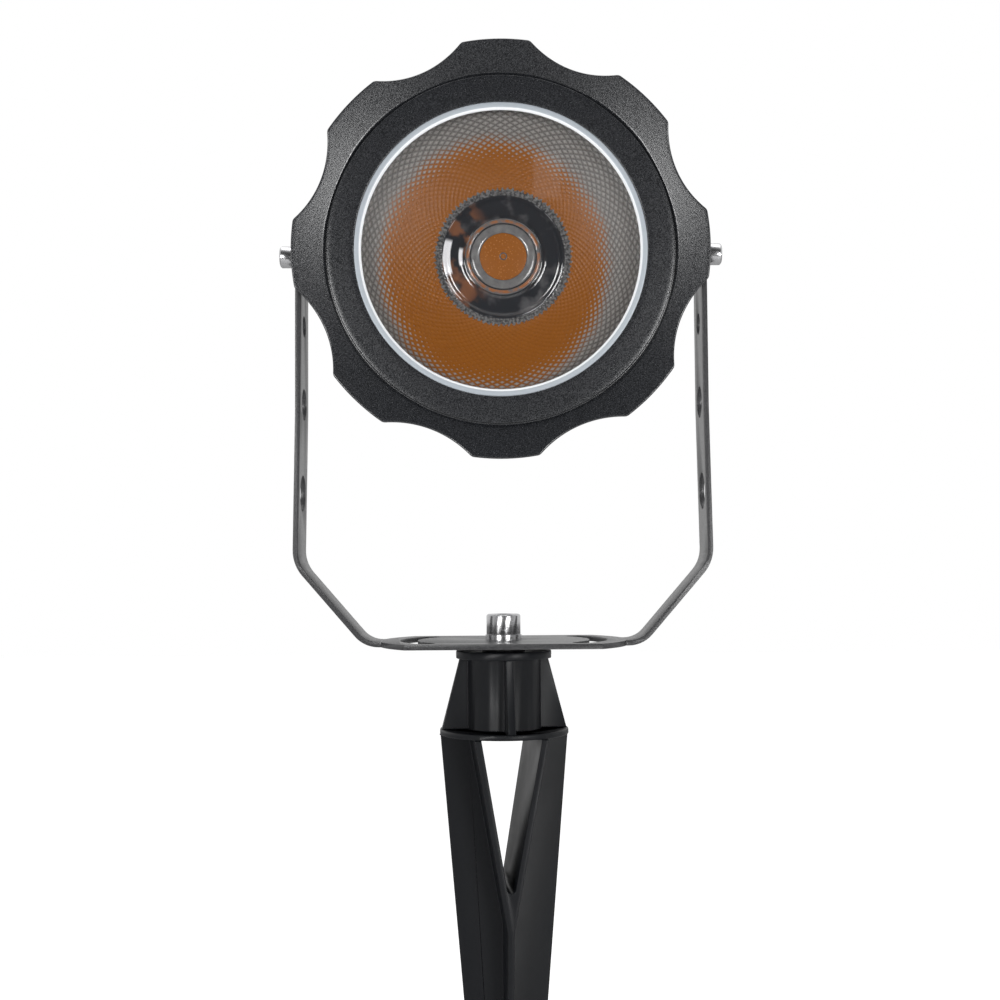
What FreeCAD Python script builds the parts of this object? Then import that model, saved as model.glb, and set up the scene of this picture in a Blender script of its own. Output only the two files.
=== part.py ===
import FreeCAD
import Part
import math
import os

# Garden spike spotlight, in millimetres and degrees.
# The origin is on the spike's axis at soil level, which is the underside of its lower collar.
# +Z is up and the light faces -Y. The head is drawn straight in its own frame, with its origin
# on the tilt axis and its front towards -Y, and is then set to the tilt that it rests at.

# ---- fits and clearances
face_gap = 0.05            # between flat faces that turn on each other
thread_gap = 0.03          # radial, between a thread's two sides
drop_in_gap = 0.3          # radial, for discs and rings that drop into a bore
screw_gap = 0.25           # radial, for a screw through a plain hole
pocket_gap = 0.15          # per side, for parts in a moulded pocket
glass_air = 0.1            # between the front glass and the lens behind it
end_gap = 0.5              # left past a screw's end, and under a sunk screw's head
overcut = 1.0              # how far a cutting tool reaches past the faces that it cuts

# ---- spike, moulded plastic
spike_yaw = 7.0            # how far the spike stands turned about Z
collar_d = 50.0            # lower collar, which rests on the soil
collar_t = 2.1
seat_z = 32.2              # top of the spike, where the bracket's washer lies
crown_d = 37.2             # upper flange
crown_t = 3.0
seat_pad_d = 17.0          # raised middle of the upper flange
crown_rim_w = 1.4          # raised edge of the upper flange
crown_dish = 0.7           # depth of the ring between pad and edge
barrel_d = 28.3
gusset_t = 2.9
gusset_foot_r = 24.4       # reach of a gusset at the lower collar
gusset_top_r = 17.3        # reach of a gusset at the upper flange
gusset_count = 4
wing_t = 2.6
wing_half_top = 24.85      # half width of the blade at the collar, in X
web_half_top = 23.5        # half width of the blade at the collar, in Y
shoulder_half = 7.6        # half width of the blade where the point starts
shoulder_depth = 205.0
tip_depth = 235.0
tip_half = 1.2
fork_t = 2.5               # wall of the fork's two legs
fork_half_top = 12.7       # half distance between the legs' middles at the collar
fork_slope = 0.176         # how fast a leg leans in, per mm of depth
fork_root_r = 1.6          # rounding at the bottom of the fork
rib_t = 2.3                # single web below the fork

# ---- pan bolt (M8), its nut and washers
bolt_d = 8.0
bolt_head_d = 13.27
bolt_head_h = 8.0
bolt_socket_af = 6.0
bolt_socket_depth = 4.0
bolt_length = 30.0
pan_nut_af = 13.0
pan_nut_h = 6.5
pan_nut_top_z = 16.5
pan_washer_d = 16.0
pan_washer_t = 2.0
pan_spring_d = 14.1
pan_spring_t = 2.0
head_chamfer = 0.6         # on the rims of all cap screw heads
spring_cut = 1.4           # width of the slit in a spring washer

# ---- bracket, bent from 2 mm steel strip
strip_t = 2.0
strip_w = 22.0
plate_d = 96.4             # round base plate, cut off straight at front and back
plate_depth = 63.2
foot_half = 53.4           # half width of the flat foot, to the outer bend corner
knee_z = 66.1
knee_flare = 1.0           # the upper bend's corner is this much further out than the arm above it
arm_set_in = 1.0           # the arms' outer faces stand this far inside the bezel's lobes
lean_top_z = 126.0         # the arms lean in from the knee up to here
foot_bend_r = 12.0
knee_bend_r = 15.0
plate_bore_d = 9.0
slot_pitch_r = 37.0
slot_w = 7.0
slot_half_angle = 38.0
arm_holes = ((94.0, 14.3), (129.0, 12.5), (160.0, 8.5))    # height and diameter
pivot_z = 187.8

# ---- tilt screws (M5) and their washers
pivot_d = 5.0
pivot_bore_d = 5.6
pivot_head_d = 8.5
pivot_head_h = 5.0
pivot_socket_af = 4.0
pivot_socket_depth = 2.5
pivot_flat_d = 10.0
pivot_flat_t = 1.0
pivot_spring_d = 9.0
pivot_spring_t = 1.3
pivot_thread = 12.0        # length of thread inside the boss

# ---- head: tilt at rest, bezel, glass
rest_tilt = 2.777          # how far the face looks down
bezel_rear_y = -13.2       # back of the lobes
bezel_land = 3.0           # height of the lobed edge
bezel_band_dip = 3.4       # the sloping band sinks this much from the lobes to the groove
bezel_step = 2.2           # from the band's inner end up to the flat ring
bezel_skirt_w = 12.8       # width of the thick part behind, outwards from the glass's rebate
bezel_skirt_h = 3.6        # how far it reaches behind the lobes
flat_ring_w = 10.35        # from the opening out to the groove
bezel_band_w = 12.85       # from the groove out to the lobes
bezel_groove_w = 0.9
bezel_groove_depth = 0.3
bezel_reveal = 2.8         # width of the bright ring that shows in the opening
bezel_edge = 0.3           # chamfer on the opening
bezel_lip_t = 1.1
lobe_count = 8
lobe_half_angle = 9.4
lobe_clock = 1.0           # the lobes stand turned by this much
scallop_depth = 6.3        # from the lobes in to the middle of a scallop
lobe_round = 3.0
glass_lap = 4.1            # how far the bezel's lip lies over the bright ring and the glass
glass_t = 4.0
gasket_t = 1.5
gasket_set_back = 0.2      # the gasket's inner edge stands this far back from the housing's bore
bezel_screw_count = 8
bezel_screw_margin = 2.9   # from the glass's rebate out to the middle of the screws
bezel_screw_d = 3.0
bezel_screw_head_d = 5.5
bezel_screw_head_h = 3.0
bezel_screw_socket_af = 2.5
bezel_screw_socket_depth = 1.5
bezel_thread = 4.2

# ---- optic and light source
ring_lip_r = 54.0          # inner radius of the bright ring
ring_t = 1.0
ring_edge = 0.5            # chamfer round its inner edge
lens_lap = 2.1             # how far the lens's edge reaches behind the bright ring
lens_flange_t = 2.0
lens_rim_w = 3.6           # from the lens's edge in to where the faceted wall starts
lens_foot_r = 27.5         # outer radius of the lens's foot
lens_foot_w = 2.6
lens_depth = 17.8          # from the front face to the foot
lens_cavity_r = 15.1
lens_foot_h = 1.2
lens_wall_bulge = 1.4      # how far the bowl's wall swells from a straight line
lens_cavity_h = 10.0
lens_cavity_draft = 1.0
lens_dome_h = 2.5          # the cavity's floor swells towards the source
holder_inset = 0.5         # the holder's edge stands this far inside the lens's foot
holder_t = 5.5
holder_hole_margin = 1.5   # from the emitting surface out to the holder's hole
cob_side = 28.0
cob_t = 1.5
phosphor_r = 9.5
phosphor_t = 0.6
pad_t = 0.5
cob_screw_d = 3.0
cob_screw_inset = 5.4      # from the holder's edge in to the middle of the screws
cob_screw_angle = 45.0
cob_screw_head_d = 5.2
cob_screw_head_h = 2.0
cob_screw_socket_af = 2.0
cob_screw_socket_depth = 1.0
cob_screw_length = 8.0
lead_d = 1.6
lead_spacing = 5.0
lead_z = 9.0
lead_hole_d = 8.6

# ---- housing, cast aluminium with cooling fins
flange_margin = 3.9        # from the middle of the bezel's screws out to the flange's edge
flange_t = 4.0
drum_margin = 4.1          # from the middle of the bezel's screws in to the drum
drum_depth = 5.0           # straight part of the drum behind the flange
shoulder_w = 2.0           # width of the step that the lens's flange lies on
well_gap = 4.0             # around the light source's holder
well_lead = 1.0            # the well starts this far behind the lens's foot
heat_wall_t = 6.0
core_r = 40.0
core_wall = 9.0
driver_bay = 31.5          # length of the driver's chamber
fin_count = 24
fin_t = 2.2
fin_set_in = 1.5           # the fins' front corner stands this far inside the flange's edge
fin_taper = 4.5            # how much they draw in up to fin_mid_y
fin_mid_y = 20.0
fin_rear_reach = 7.0       # how far they stand out of the core at their rear end
fin_root = 20.0            # how deep they run into the core
fin_setback = 3.0          # the fins end this far ahead of the core's rear face
boss_d = 18.0

# ---- rear cover and driver
rear_gasket_t = 1.0
cover_t = 4.0
cover_screw_count = 4
cover_screw_d = 4.0
cover_screw_head_d = 7.0
cover_screw_head_h = 4.0
cover_screw_socket_af = 3.0
cover_screw_socket_depth = 2.0
cover_thread = 8.0
board_w = 48.0
board_h = 30.0
board_t = 1.6
standoff_h = 6.0
standoff_d = 7.0
standoff_half = 19.5
board_screw_d = 3.0
board_screw_head_d = 5.5
board_screw_head_h = 2.0
board_screw_socket_af = 2.0
board_screw_socket_depth = 1.0
board_thread = 5.0
capacitor_d = 11.0
capacitor_h = 16.0
capacitor_x = -6.5
transformer_side = 15.0
transformer_h = 13.0
transformer_x = 8.0

# ---- cable gland
gland_thread_d = 16.0
gland_spigot = 9.0         # threaded length in the cover
gland_washer_t = 1.0
gland_washer_d = 21.0
gland_hex_af = 20.0
gland_hex_t = 5.0
gland_neck_d = 15.0
gland_neck = 8.0
gland_bore_d = 9.0
gland_cup_r = 6.2
seal_bore_d = 6.6
seal_length = 10.0
seal_seat = 1.0            # depth of the cup's floor behind the hexagon's rear face
dome_mouth_r = 4.2
dome_tip_r = 7.2
dome_hex_t = 7.0
dome_nose = 2.2            # from the seal's end to the dome's tip
dome_start_gap = 0.3
dome_chamfer = 0.8
dome_shoulder = 1.0        # from the hexagon's end to where the nose starts
dome_inner_gap = 0.2       # the wide bore ends this far past the neck
dome_mouth_step = 0.4      # cone from the seal's bore to the mouth


def direction(angle):
    """Unit vector in the XZ plane, at an angle from +X towards +Z."""
    return FreeCAD.Vector(math.cos(math.radians(angle)), 0, math.sin(math.radians(angle)))


def revolve_y(profile):
    """Solid of revolution about Y from (radius, y) points."""
    points = [FreeCAD.Vector(radius, y, 0) for radius, y in profile]
    face = Part.Face(Part.makePolygon(points + points[:1]))
    return face.revolve(FreeCAD.Vector(), FreeCAD.Vector(0, 1, 0), 360)


def revolve_z(profile):
    """Solid of revolution about Z from (radius, z) points."""
    points = [FreeCAD.Vector(radius, 0, z) for radius, z in profile]
    face = Part.Face(Part.makePolygon(points + points[:1]))
    return face.revolve(FreeCAD.Vector(), FreeCAD.Vector(0, 0, 1), 360)


def prism_xz(points, half_depth):
    """Polygon in the XZ plane, extruded by the same depth to both sides."""
    corners = [FreeCAD.Vector(x, -half_depth, z) for x, z in points]
    face = Part.Face(Part.makePolygon(corners + corners[:1]))
    return face.extrude(FreeCAD.Vector(0, 2 * half_depth, 0))


def rod(diameter, start, end):
    """Plain cylinder between two points."""
    span = end - start
    return Part.makeCylinder(diameter / 2, span.Length, start, span)


def hexagon(across_flats, start, end, turn=0.0):
    """Hexagonal prism between two points, with its flats turned about its axis."""
    span = end - start
    radius = across_flats / 2 / math.cos(math.radians(30))
    corners = [FreeCAD.Vector(radius * math.cos(math.radians(60 * i + turn)),
                              radius * math.sin(math.radians(60 * i + turn)), 0) for i in range(7)]
    prism = Part.Face(Part.makePolygon(corners)).extrude(FreeCAD.Vector(0, 0, span.Length))
    prism.Placement = FreeCAD.Placement(start, FreeCAD.Rotation(FreeCAD.Vector(0, 0, 1), span))
    return prism


def tube(outer_d, inner_d, start, end):
    """Ring or washer between two points."""
    return rod(outer_d, start, end).cut(rod(inner_d, start, end))


def cap_screw(shank_d, shank_length, head_d, head_h, socket_af, socket_depth, seat, outward):
    """Socket head cap screw: its head starts at the seat and points outward."""
    outward = outward / outward.Length
    top = seat + outward * head_h
    rim_start = seat + outward * (head_h - head_chamfer)
    head = rod(head_d, seat, rim_start)
    rim = Part.makeCone(head_d / 2, head_d / 2 - head_chamfer, head_chamfer, rim_start, outward)
    socket = hexagon(socket_af, top - outward * socket_depth, top + outward * overcut)
    return head.fuse(rim).fuse(rod(shank_d, seat - outward * shank_length, seat)).cut(socket).removeSplitter()


def spring_washer(outer_d, bore_d, start, end):
    """Split ring with a straight slit on its +Y or -Z side."""
    ring = tube(outer_d, bore_d, start, end)
    span = end - start
    side = FreeCAD.Vector(0, 1, 0) if abs(span.z) > abs(span.x) else FreeCAD.Vector(0, 0, -1)
    across = span.cross(side)
    across = across / across.Length
    corner = start - across * (spring_cut / 2)
    slit = Part.Face(Part.makePolygon([corner, corner + side * outer_d,
                                       corner + side * outer_d + across * spring_cut,
                                       corner + across * spring_cut, corner])).extrude(span)
    return ring.cut(slit)


def ring_pattern(shape, count, start_angle=0.0):
    """Copies of a shape about the Y axis, evenly spaced."""
    copies = []
    for i in range(count):
        copy = shape.copy()
        copy.rotate(FreeCAD.Vector(), FreeCAD.Vector(0, -1, 0), start_angle + 360 * i / count)
        copies.append(copy)
    return copies


def on_y(y, angle=0.0, radius=0.0):
    """Point of the head at a depth y, at a radius and angle from its axis."""
    return direction(angle) * radius + FreeCAD.Vector(0, y, 0)


def mirrored_x(shape):
    """The same shape on the other side of the YZ plane."""
    return shape.mirror(FreeCAD.Vector(), FreeCAD.Vector(1, 0, 0))


Z = FreeCAD.Vector(0, 0, 1)
X = FreeCAD.Vector(1, 0, 0)
Y = FreeCAD.Vector(0, 1, 0)

# ---- radii and widths that follow from the sizes above, from the bright ring outwards
lens_r = ring_lip_r + lens_lap
lens_wall_r = lens_r - lens_rim_w
chamber_r = lens_r + drop_in_gap
shoulder_r = chamber_r - shoulder_w
bezel_open_r = ring_lip_r + bezel_reveal
glass_r = bezel_open_r + glass_lap
rebate_r = glass_r + drop_in_gap
bezel_skirt_r = rebate_r + bezel_skirt_w
bezel_screw_pitch_r = rebate_r + bezel_screw_margin
flange_r = bezel_screw_pitch_r + flange_margin
drum_r = bezel_screw_pitch_r - drum_margin
bezel_ring_r = bezel_open_r + flat_ring_w
bezel_groove_r = bezel_ring_r + bezel_groove_w
bezel_r = bezel_groove_r + bezel_band_w
valley_r = bezel_r - scallop_depth
holder_r = lens_foot_r - holder_inset
holder_hole_r = phosphor_r + holder_hole_margin
holder_mouth_r = lens_cavity_r - drop_in_gap
cob_screw_pitch_r = holder_r - cob_screw_inset
well_r = holder_r + well_gap
driver_bore_r = core_r - core_wall
cover_screw_pitch_r = (core_r + driver_bore_r) / 2
fin_front_r = flange_r - fin_set_in
fin_mid_r = fin_front_r - fin_taper
fin_rear_r = core_r + fin_rear_reach
arm_half = bezel_r - arm_set_in
knee_half = arm_half + knee_flare

# ---- heights and depths that follow from the sizes above
plate_bottom_z = seat_z + pan_washer_t + face_gap
plate_top_z = plate_bottom_z + strip_t
bolt_seat_z = plate_top_z + face_gap + pan_spring_t
arm_inner = arm_half - strip_t
boss_end = arm_inner - face_gap
pivot_seat = arm_half + face_gap + pivot_flat_t + pivot_spring_t

bezel_edge_y = bezel_rear_y - bezel_land
bezel_band_y = bezel_edge_y + bezel_band_dip
bezel_front_y = bezel_band_y - bezel_step
bezel_skirt_y = bezel_rear_y + bezel_skirt_h
lip_y = bezel_front_y + bezel_lip_t
glass_front_y = lip_y + ring_t
glass_rear_y = glass_front_y + glass_t
rebate_floor_y = glass_rear_y + gasket_t
lens_front_y = glass_rear_y + glass_air
lens_seat_y = lens_front_y + lens_flange_t
lens_foot_y = lens_front_y + lens_depth
heat_face_y = lens_foot_y + holder_t
driver_floor_y = heat_face_y + heat_wall_t
core_end_y = driver_floor_y + driver_bay
cover_y = core_end_y + rear_gasket_t
cover_rear_y = cover_y + cover_t
cob_front_y = heat_face_y - pad_t - cob_t
board_y = driver_floor_y + standoff_h
gland_hex_y = cover_rear_y + gland_washer_t
gland_neck_y = gland_hex_y + gland_hex_t
seal_start_y = gland_neck_y + seal_seat
seal_end_y = seal_start_y + seal_length
flange_rear_y = bezel_skirt_y + flange_t


# ---- spike and pan bolt

def fork_inside():
    """The open wedge between the fork's legs, rounded at its bottom and open upwards."""
    half = fork_half_top - fork_t / 2
    lean = math.atan(fork_slope)
    root_depth = half / fork_slope
    centre_z = -root_depth + fork_root_r / math.sin(lean)
    side_x = fork_root_r * math.cos(lean)
    side_z = centre_z - fork_root_r * math.sin(lean)
    start = FreeCAD.Vector(-side_x, -collar_d, side_z)
    end = FreeCAD.Vector(side_x, -collar_d, side_z)
    bottom = FreeCAD.Vector(0, -collar_d, centre_z - fork_root_r)
    left = FreeCAD.Vector(-half, -collar_d, 0)
    right = FreeCAD.Vector(half, -collar_d, 0)
    edges = [Part.Arc(start, bottom, end).toShape(), Part.LineSegment(end, right).toShape(),
             Part.LineSegment(right, left).toShape(), Part.LineSegment(left, start).toShape()]
    return Part.Face(Part.Wire(edges)).extrude(Y * (2 * collar_d))


def blade():
    """The part in the soil: two outer wings, a forked web, and a cross below the fork."""
    wings = prism_xz([(-wing_half_top, 0), (wing_half_top, 0), (shoulder_half, -shoulder_depth),
                      (tip_half, -tip_depth), (-tip_half, -tip_depth),
                      (-shoulder_half, -shoulder_depth)], wing_t / 2)
    outer = fork_half_top + fork_t / 2
    merge_z = -(outer - rib_t / 2) / fork_slope
    fork = prism_xz([(-outer, 0), (outer, 0), (rib_t / 2, merge_z), (rib_t / 2, -tip_depth),
                     (-rib_t / 2, -tip_depth), (-rib_t / 2, merge_z)], collar_d / 2)
    depth = prism_xz([(-web_half_top, 0), (web_half_top, 0), (shoulder_half, -shoulder_depth),
                      (tip_half, -tip_depth), (-tip_half, -tip_depth),
                      (-shoulder_half, -shoulder_depth)], collar_d / 2)
    depth.rotate(FreeCAD.Vector(), Z, 90)
    return wings.fuse(fork.common(depth)).cut(fork_inside())


def spike_body():
    """Blade, lower collar, gusseted barrel and dished upper flange, in one moulding."""
    crown_bottom = seat_z - crown_t
    dish_z = seat_z - crown_dish
    turned = revolve_z([(0, 0), (collar_d / 2, 0), (collar_d / 2, collar_t), (barrel_d / 2, collar_t),
                        (barrel_d / 2, crown_bottom), (crown_d / 2, crown_bottom), (crown_d / 2, seat_z),
                        (crown_d / 2 - crown_rim_w, seat_z), (crown_d / 2 - crown_rim_w, dish_z),
                        (seat_pad_d / 2, dish_z), (seat_pad_d / 2, seat_z), (0, seat_z)])
    gusset = prism_xz([(0, collar_t), (gusset_foot_r, collar_t), (gusset_top_r, crown_bottom),
                       (0, crown_bottom)], gusset_t / 2)
    body = turned.fuse(blade())
    for i in range(gusset_count):
        copy = gusset.copy()
        copy.rotate(FreeCAD.Vector(), Z, 360 * i / gusset_count)
        body = body.fuse(copy)
    body = body.cut(rod(bolt_d + 2 * screw_gap, FreeCAD.Vector(), Z * (seat_z + overcut)))
    body = body.cut(hexagon(pan_nut_af + 2 * pocket_gap, Z * -overcut, Z * pan_nut_top_z))
    return body.removeSplitter()


def spike_nut():
    """M8 nut in the barrel's pocket, drawn up against the pocket's end."""
    bottom = Z * (pan_nut_top_z - pan_nut_h)
    nut = hexagon(pan_nut_af, bottom, Z * pan_nut_top_z)
    return nut.cut(rod(bolt_d + 2 * thread_gap, bottom, Z * pan_nut_top_z))


def pan_bolt():
    """M8 socket head bolt that clamps the bracket to the spike."""
    return cap_screw(bolt_d, bolt_length, bolt_head_d, bolt_head_h, bolt_socket_af,
                     bolt_socket_depth, Z * bolt_seat_z, Z)


def pan_washer():
    """Friction washer between the spike and the base plate."""
    return tube(pan_washer_d, bolt_d + 2 * screw_gap, Z * seat_z, Z * (seat_z + pan_washer_t))


def pan_spring_washer():
    """Spring washer under the bolt's head."""
    return spring_washer(pan_spring_d, bolt_d + 2 * screw_gap,
                         Z * (bolt_seat_z - pan_spring_t), Z * bolt_seat_z)


# ---- bracket

def offset_line(points, distance):
    """A polyline moved to its left by a distance, with its corners kept sharp."""
    steps = [((b[0] - a[0]), (b[1] - a[1])) for a, b in zip(points, points[1:])]
    units = [(dx / math.hypot(dx, dz), dz / math.hypot(dx, dz)) for dx, dz in steps]
    moved = []
    for i, (x, z) in enumerate(points):
        before = units[max(i - 1, 0)]
        after = units[min(i, len(units) - 1)]
        stretch = distance / (1 + before[0] * after[0] + before[1] * after[1])
        moved.append((x - stretch * (before[1] + after[1]), z + stretch * (before[0] + after[0])))
    return moved


def rounded_line(points, radii):
    """Lines through (x, z) points with a tangent arc at each inner corner, at y = -strip_w / 2."""
    corners = [FreeCAD.Vector(x, -strip_w / 2, z) for x, z in points]
    edges = []
    start = corners[0]
    for before, corner, after, radius in zip(corners, corners[1:], corners[2:], radii):
        way_in = (corner - before) / (corner - before).Length
        way_out = (after - corner) / (after - corner).Length
        turn = math.acos(way_in.dot(way_out))
        if radius > 0:
            reach = radius * math.tan(turn / 2)
            inward = (way_out - way_in) / (way_out - way_in).Length
            middle = corner + inward * (radius / math.cos(turn / 2) - radius)
            edges.append(Part.LineSegment(start, corner - way_in * reach).toShape())
            edges.append(Part.Arc(corner - way_in * reach, middle, corner + way_out * reach).toShape())
            start = corner + way_out * reach
        else:
            edges.append(Part.LineSegment(start, corner).toShape())
            start = corner
    edges.append(Part.LineSegment(start, corners[-1]).toShape())
    return edges


def arc_slot():
    """Slot on an arc about the bolt, centred on +X, through the base plate."""
    height = strip_t + 2 * overcut
    base = Z * (plate_bottom_z - overcut)
    outer = Part.makeCylinder(slot_pitch_r + slot_w / 2, height, base, Z, 2 * slot_half_angle)
    inner = Part.makeCylinder(slot_pitch_r - slot_w / 2, height, base, Z)
    slot = outer.cut(inner)
    slot.rotate(FreeCAD.Vector(), Z, -slot_half_angle)
    for angle in (-slot_half_angle, slot_half_angle):
        end = FreeCAD.Vector(slot_pitch_r * math.cos(math.radians(angle)),
                             slot_pitch_r * math.sin(math.radians(angle)), 0)
        slot = slot.fuse(Part.makeCylinder(slot_w / 2, height, base + end, Z))
    return slot


def bracket_yoke():
    """U-shaped strip with a wide base plate, bent twice on each side."""
    arm_top_z = pivot_z + strip_w / 2
    right = [(foot_half, plate_bottom_z), (knee_half, knee_z), (arm_half, lean_top_z), (arm_half, arm_top_z)]
    outer = [(-x, z) for x, z in reversed(right)] + right
    inner = offset_line(outer, strip_t)
    radii = [0, knee_bend_r, foot_bend_r, foot_bend_r, knee_bend_r, 0]
    inner_radii = [max(radius - strip_t, 0) for radius in radii]
    edges = rounded_line(outer, radii) + rounded_line(inner, inner_radii)
    for a, b in ((outer[0], inner[0]), (outer[-1], inner[-1])):
        edges.append(Part.LineSegment(FreeCAD.Vector(a[0], -strip_w / 2, a[1]),
                                      FreeCAD.Vector(b[0], -strip_w / 2, b[1])).toShape())
    outline = Part.Wire(Part.__sortEdges__(edges))
    strip = Part.Face(outline).extrude(Y * strip_w)
    pivot = Z * pivot_z
    upright = Part.makeBox(4 * arm_half, strip_w, pivot_z, FreeCAD.Vector(-2 * arm_half, -strip_w / 2, 0))
    arm_end = rod(strip_w, pivot - X * (2 * arm_half), pivot + X * (2 * arm_half))
    strip = strip.common(upright.fuse(arm_end))
    plate = rod(plate_d, Z * plate_bottom_z, Z * plate_top_z)
    plate = plate.common(Part.makeBox(plate_d, plate_depth, strip_t,
                                      FreeCAD.Vector(-plate_d / 2, -plate_depth / 2, plate_bottom_z)))
    yoke = strip.fuse(plate)
    yoke = yoke.cut(rod(plate_bore_d, Z * (plate_bottom_z - overcut), Z * (plate_top_z + overcut)))
    yoke = yoke.cut(arc_slot()).cut(mirrored_x(arc_slot()))
    for height, diameter in arm_holes + ((pivot_z, pivot_bore_d),):
        centre = Z * height
        yoke = yoke.cut(rod(diameter, centre - X * (2 * arm_half), centre + X * (2 * arm_half)))
    return yoke.removeSplitter()


# ---- tilt screws, on the head's own axis

def pivot_screw():
    """M5 socket head screw on the +X side, from outside the arm into the housing's boss."""
    length = pivot_seat - boss_end + pivot_thread
    return cap_screw(pivot_d, length, pivot_head_d, pivot_head_h, pivot_socket_af,
                     pivot_socket_depth, X * pivot_seat, X)


def pivot_flat_washer():
    """Flat washer that lies on the arm."""
    start = arm_half + face_gap
    return tube(pivot_flat_d, pivot_d + 2 * screw_gap, X * start, X * (start + pivot_flat_t))


def pivot_spring_washer():
    """Spring washer under the tilt screw's head."""
    return spring_washer(pivot_spring_d, pivot_d + 2 * screw_gap,
                         X * (pivot_seat - pivot_spring_t), X * pivot_seat)


# ---- bezel and glass

def lobed_prism():
    """Round block with scalloped edges: lobes on the full radius, joined by hollow arcs."""
    start_y = bezel_edge_y - overcut
    step = 360 / lobe_count
    edges = []
    for i in range(lobe_count):
        middle = step * i + lobe_clock
        first = on_y(start_y, middle - lobe_half_angle, bezel_r)
        last = on_y(start_y, middle + lobe_half_angle, bezel_r)
        edges.append(Part.Arc(first, on_y(start_y, middle, bezel_r), last).toShape())
        valley = on_y(start_y, middle + step / 2, valley_r)
        next_first = on_y(start_y, middle + step - lobe_half_angle, bezel_r)
        edges.append(Part.Arc(last, valley, next_first).toShape())
    block = Part.Face(Part.Wire(edges)).extrude(Y * (bezel_skirt_y - start_y + overcut))
    corners = [edge for edge in block.Edges
               if abs(edge.Vertexes[0].Point.y - edge.Vertexes[-1].Point.y) > 1]
    return block.makeFillet(lobe_round, corners)


def bezel_ring():
    """Front ring: lobed edge, dished band, groove, flat ring and the lip over the bright ring."""
    uncut_r = bezel_r + overcut
    uncut_y = bezel_edge_y - overcut * bezel_band_dip / bezel_band_w
    ring = revolve_y([
        (rebate_r, bezel_skirt_y), (bezel_skirt_r, bezel_skirt_y), (bezel_skirt_r, bezel_rear_y),
        (uncut_r, bezel_rear_y), (uncut_r, uncut_y),
        (bezel_groove_r, bezel_band_y), (bezel_groove_r, bezel_band_y + bezel_groove_depth),
        (bezel_ring_r, bezel_band_y + bezel_groove_depth), (bezel_ring_r, bezel_front_y),
        (bezel_open_r + bezel_edge, bezel_front_y), (bezel_open_r, bezel_front_y + bezel_edge),
        (bezel_open_r, lip_y), (rebate_r, lip_y)])
    ring = ring.common(lobed_prism())
    hole = rod(bezel_screw_d + 2 * thread_gap, on_y(bezel_skirt_y - bezel_thread, 0, bezel_screw_pitch_r),
               on_y(bezel_skirt_y, 0, bezel_screw_pitch_r))
    return ring.cut(Part.makeCompound(ring_pattern(hole, bezel_screw_count, 180 / bezel_screw_count)))


def bezel_screws():
    """Cap screws from behind, through the housing's flange into the bezel."""
    length = flange_t + bezel_thread - end_gap
    seat = on_y(flange_rear_y, 0, bezel_screw_pitch_r)
    screw = cap_screw(bezel_screw_d, length, bezel_screw_head_d, bezel_screw_head_h,
                      bezel_screw_socket_af, bezel_screw_socket_depth, seat, Y)
    return Part.makeCompound(ring_pattern(screw, bezel_screw_count, 180 / bezel_screw_count))


def front_glass():
    """Toughened glass disc behind the bright ring."""
    return rod(2 * glass_r, on_y(glass_front_y), on_y(glass_rear_y))


def glass_gasket():
    """Silicone ring between the glass and the housing."""
    return tube(2 * glass_r, 2 * (chamber_r + gasket_set_back), on_y(glass_rear_y), on_y(rebate_floor_y))


# ---- optic and light source

def lens_ring():
    """Bright ring round the lens, held between the bezel's lip and the glass."""
    return revolve_y([(ring_lip_r + ring_edge, lip_y), (glass_r, lip_y), (glass_r, glass_front_y),
                      (ring_lip_r, glass_front_y), (ring_lip_r, lip_y + ring_edge)])


def tir_lens():
    """Solid plastic lens: flat front, bowl-shaped wall, foot ring, and a domed cavity over the source."""
    cavity_y = lens_foot_y - lens_cavity_h
    wall_start = FreeCAD.Vector(lens_wall_r, lens_seat_y, 0)
    chord = FreeCAD.Vector(lens_foot_r - lens_wall_r, lens_foot_y - lens_seat_y, 0)
    bulge = FreeCAD.Vector(chord.y, -chord.x, 0) / chord.Length * lens_wall_bulge
    wall_middle = wall_start + chord / 2 + bulge
    wall_end = FreeCAD.Vector(lens_foot_r, lens_foot_y, 0)
    dome_half = lens_cavity_r - lens_cavity_draft
    sphere_r = (dome_half ** 2 + lens_dome_h ** 2) / (2 * lens_dome_h)
    middle_drop = sphere_r - math.sqrt(sphere_r ** 2 - (dome_half / 2) ** 2)
    dome_edge = FreeCAD.Vector(dome_half, cavity_y, 0)
    dome_middle = FreeCAD.Vector(dome_half / 2, cavity_y + lens_dome_h - middle_drop, 0)
    dome_top = FreeCAD.Vector(0, cavity_y + lens_dome_h, 0)
    corners = [dome_top, FreeCAD.Vector(0, lens_front_y, 0), FreeCAD.Vector(lens_r, lens_front_y, 0),
               FreeCAD.Vector(lens_r, lens_seat_y, 0), wall_start]
    edges = [Part.LineSegment(a, b).toShape() for a, b in zip(corners, corners[1:])]
    edges.append(Part.Arc(wall_start, wall_middle, wall_end).toShape())
    foot = [wall_end, FreeCAD.Vector(lens_foot_r - lens_foot_w, lens_foot_y, 0),
            FreeCAD.Vector(lens_foot_r - lens_foot_w, lens_foot_y - lens_foot_h, 0),
            FreeCAD.Vector(lens_cavity_r, lens_foot_y - lens_foot_h, 0), dome_edge]
    edges += [Part.LineSegment(a, b).toShape() for a, b in zip(foot, foot[1:])]
    edges.append(Part.Arc(dome_edge, dome_middle, dome_top).toShape())
    return Part.Face(Part.Wire(edges)).revolve(FreeCAD.Vector(), Y, 360)


def square_block(side, start_y, end_y):
    """Square block centred on the head's axis."""
    return Part.makeBox(side, end_y - start_y, side, FreeCAD.Vector(-side / 2, start_y, -side / 2))


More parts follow.
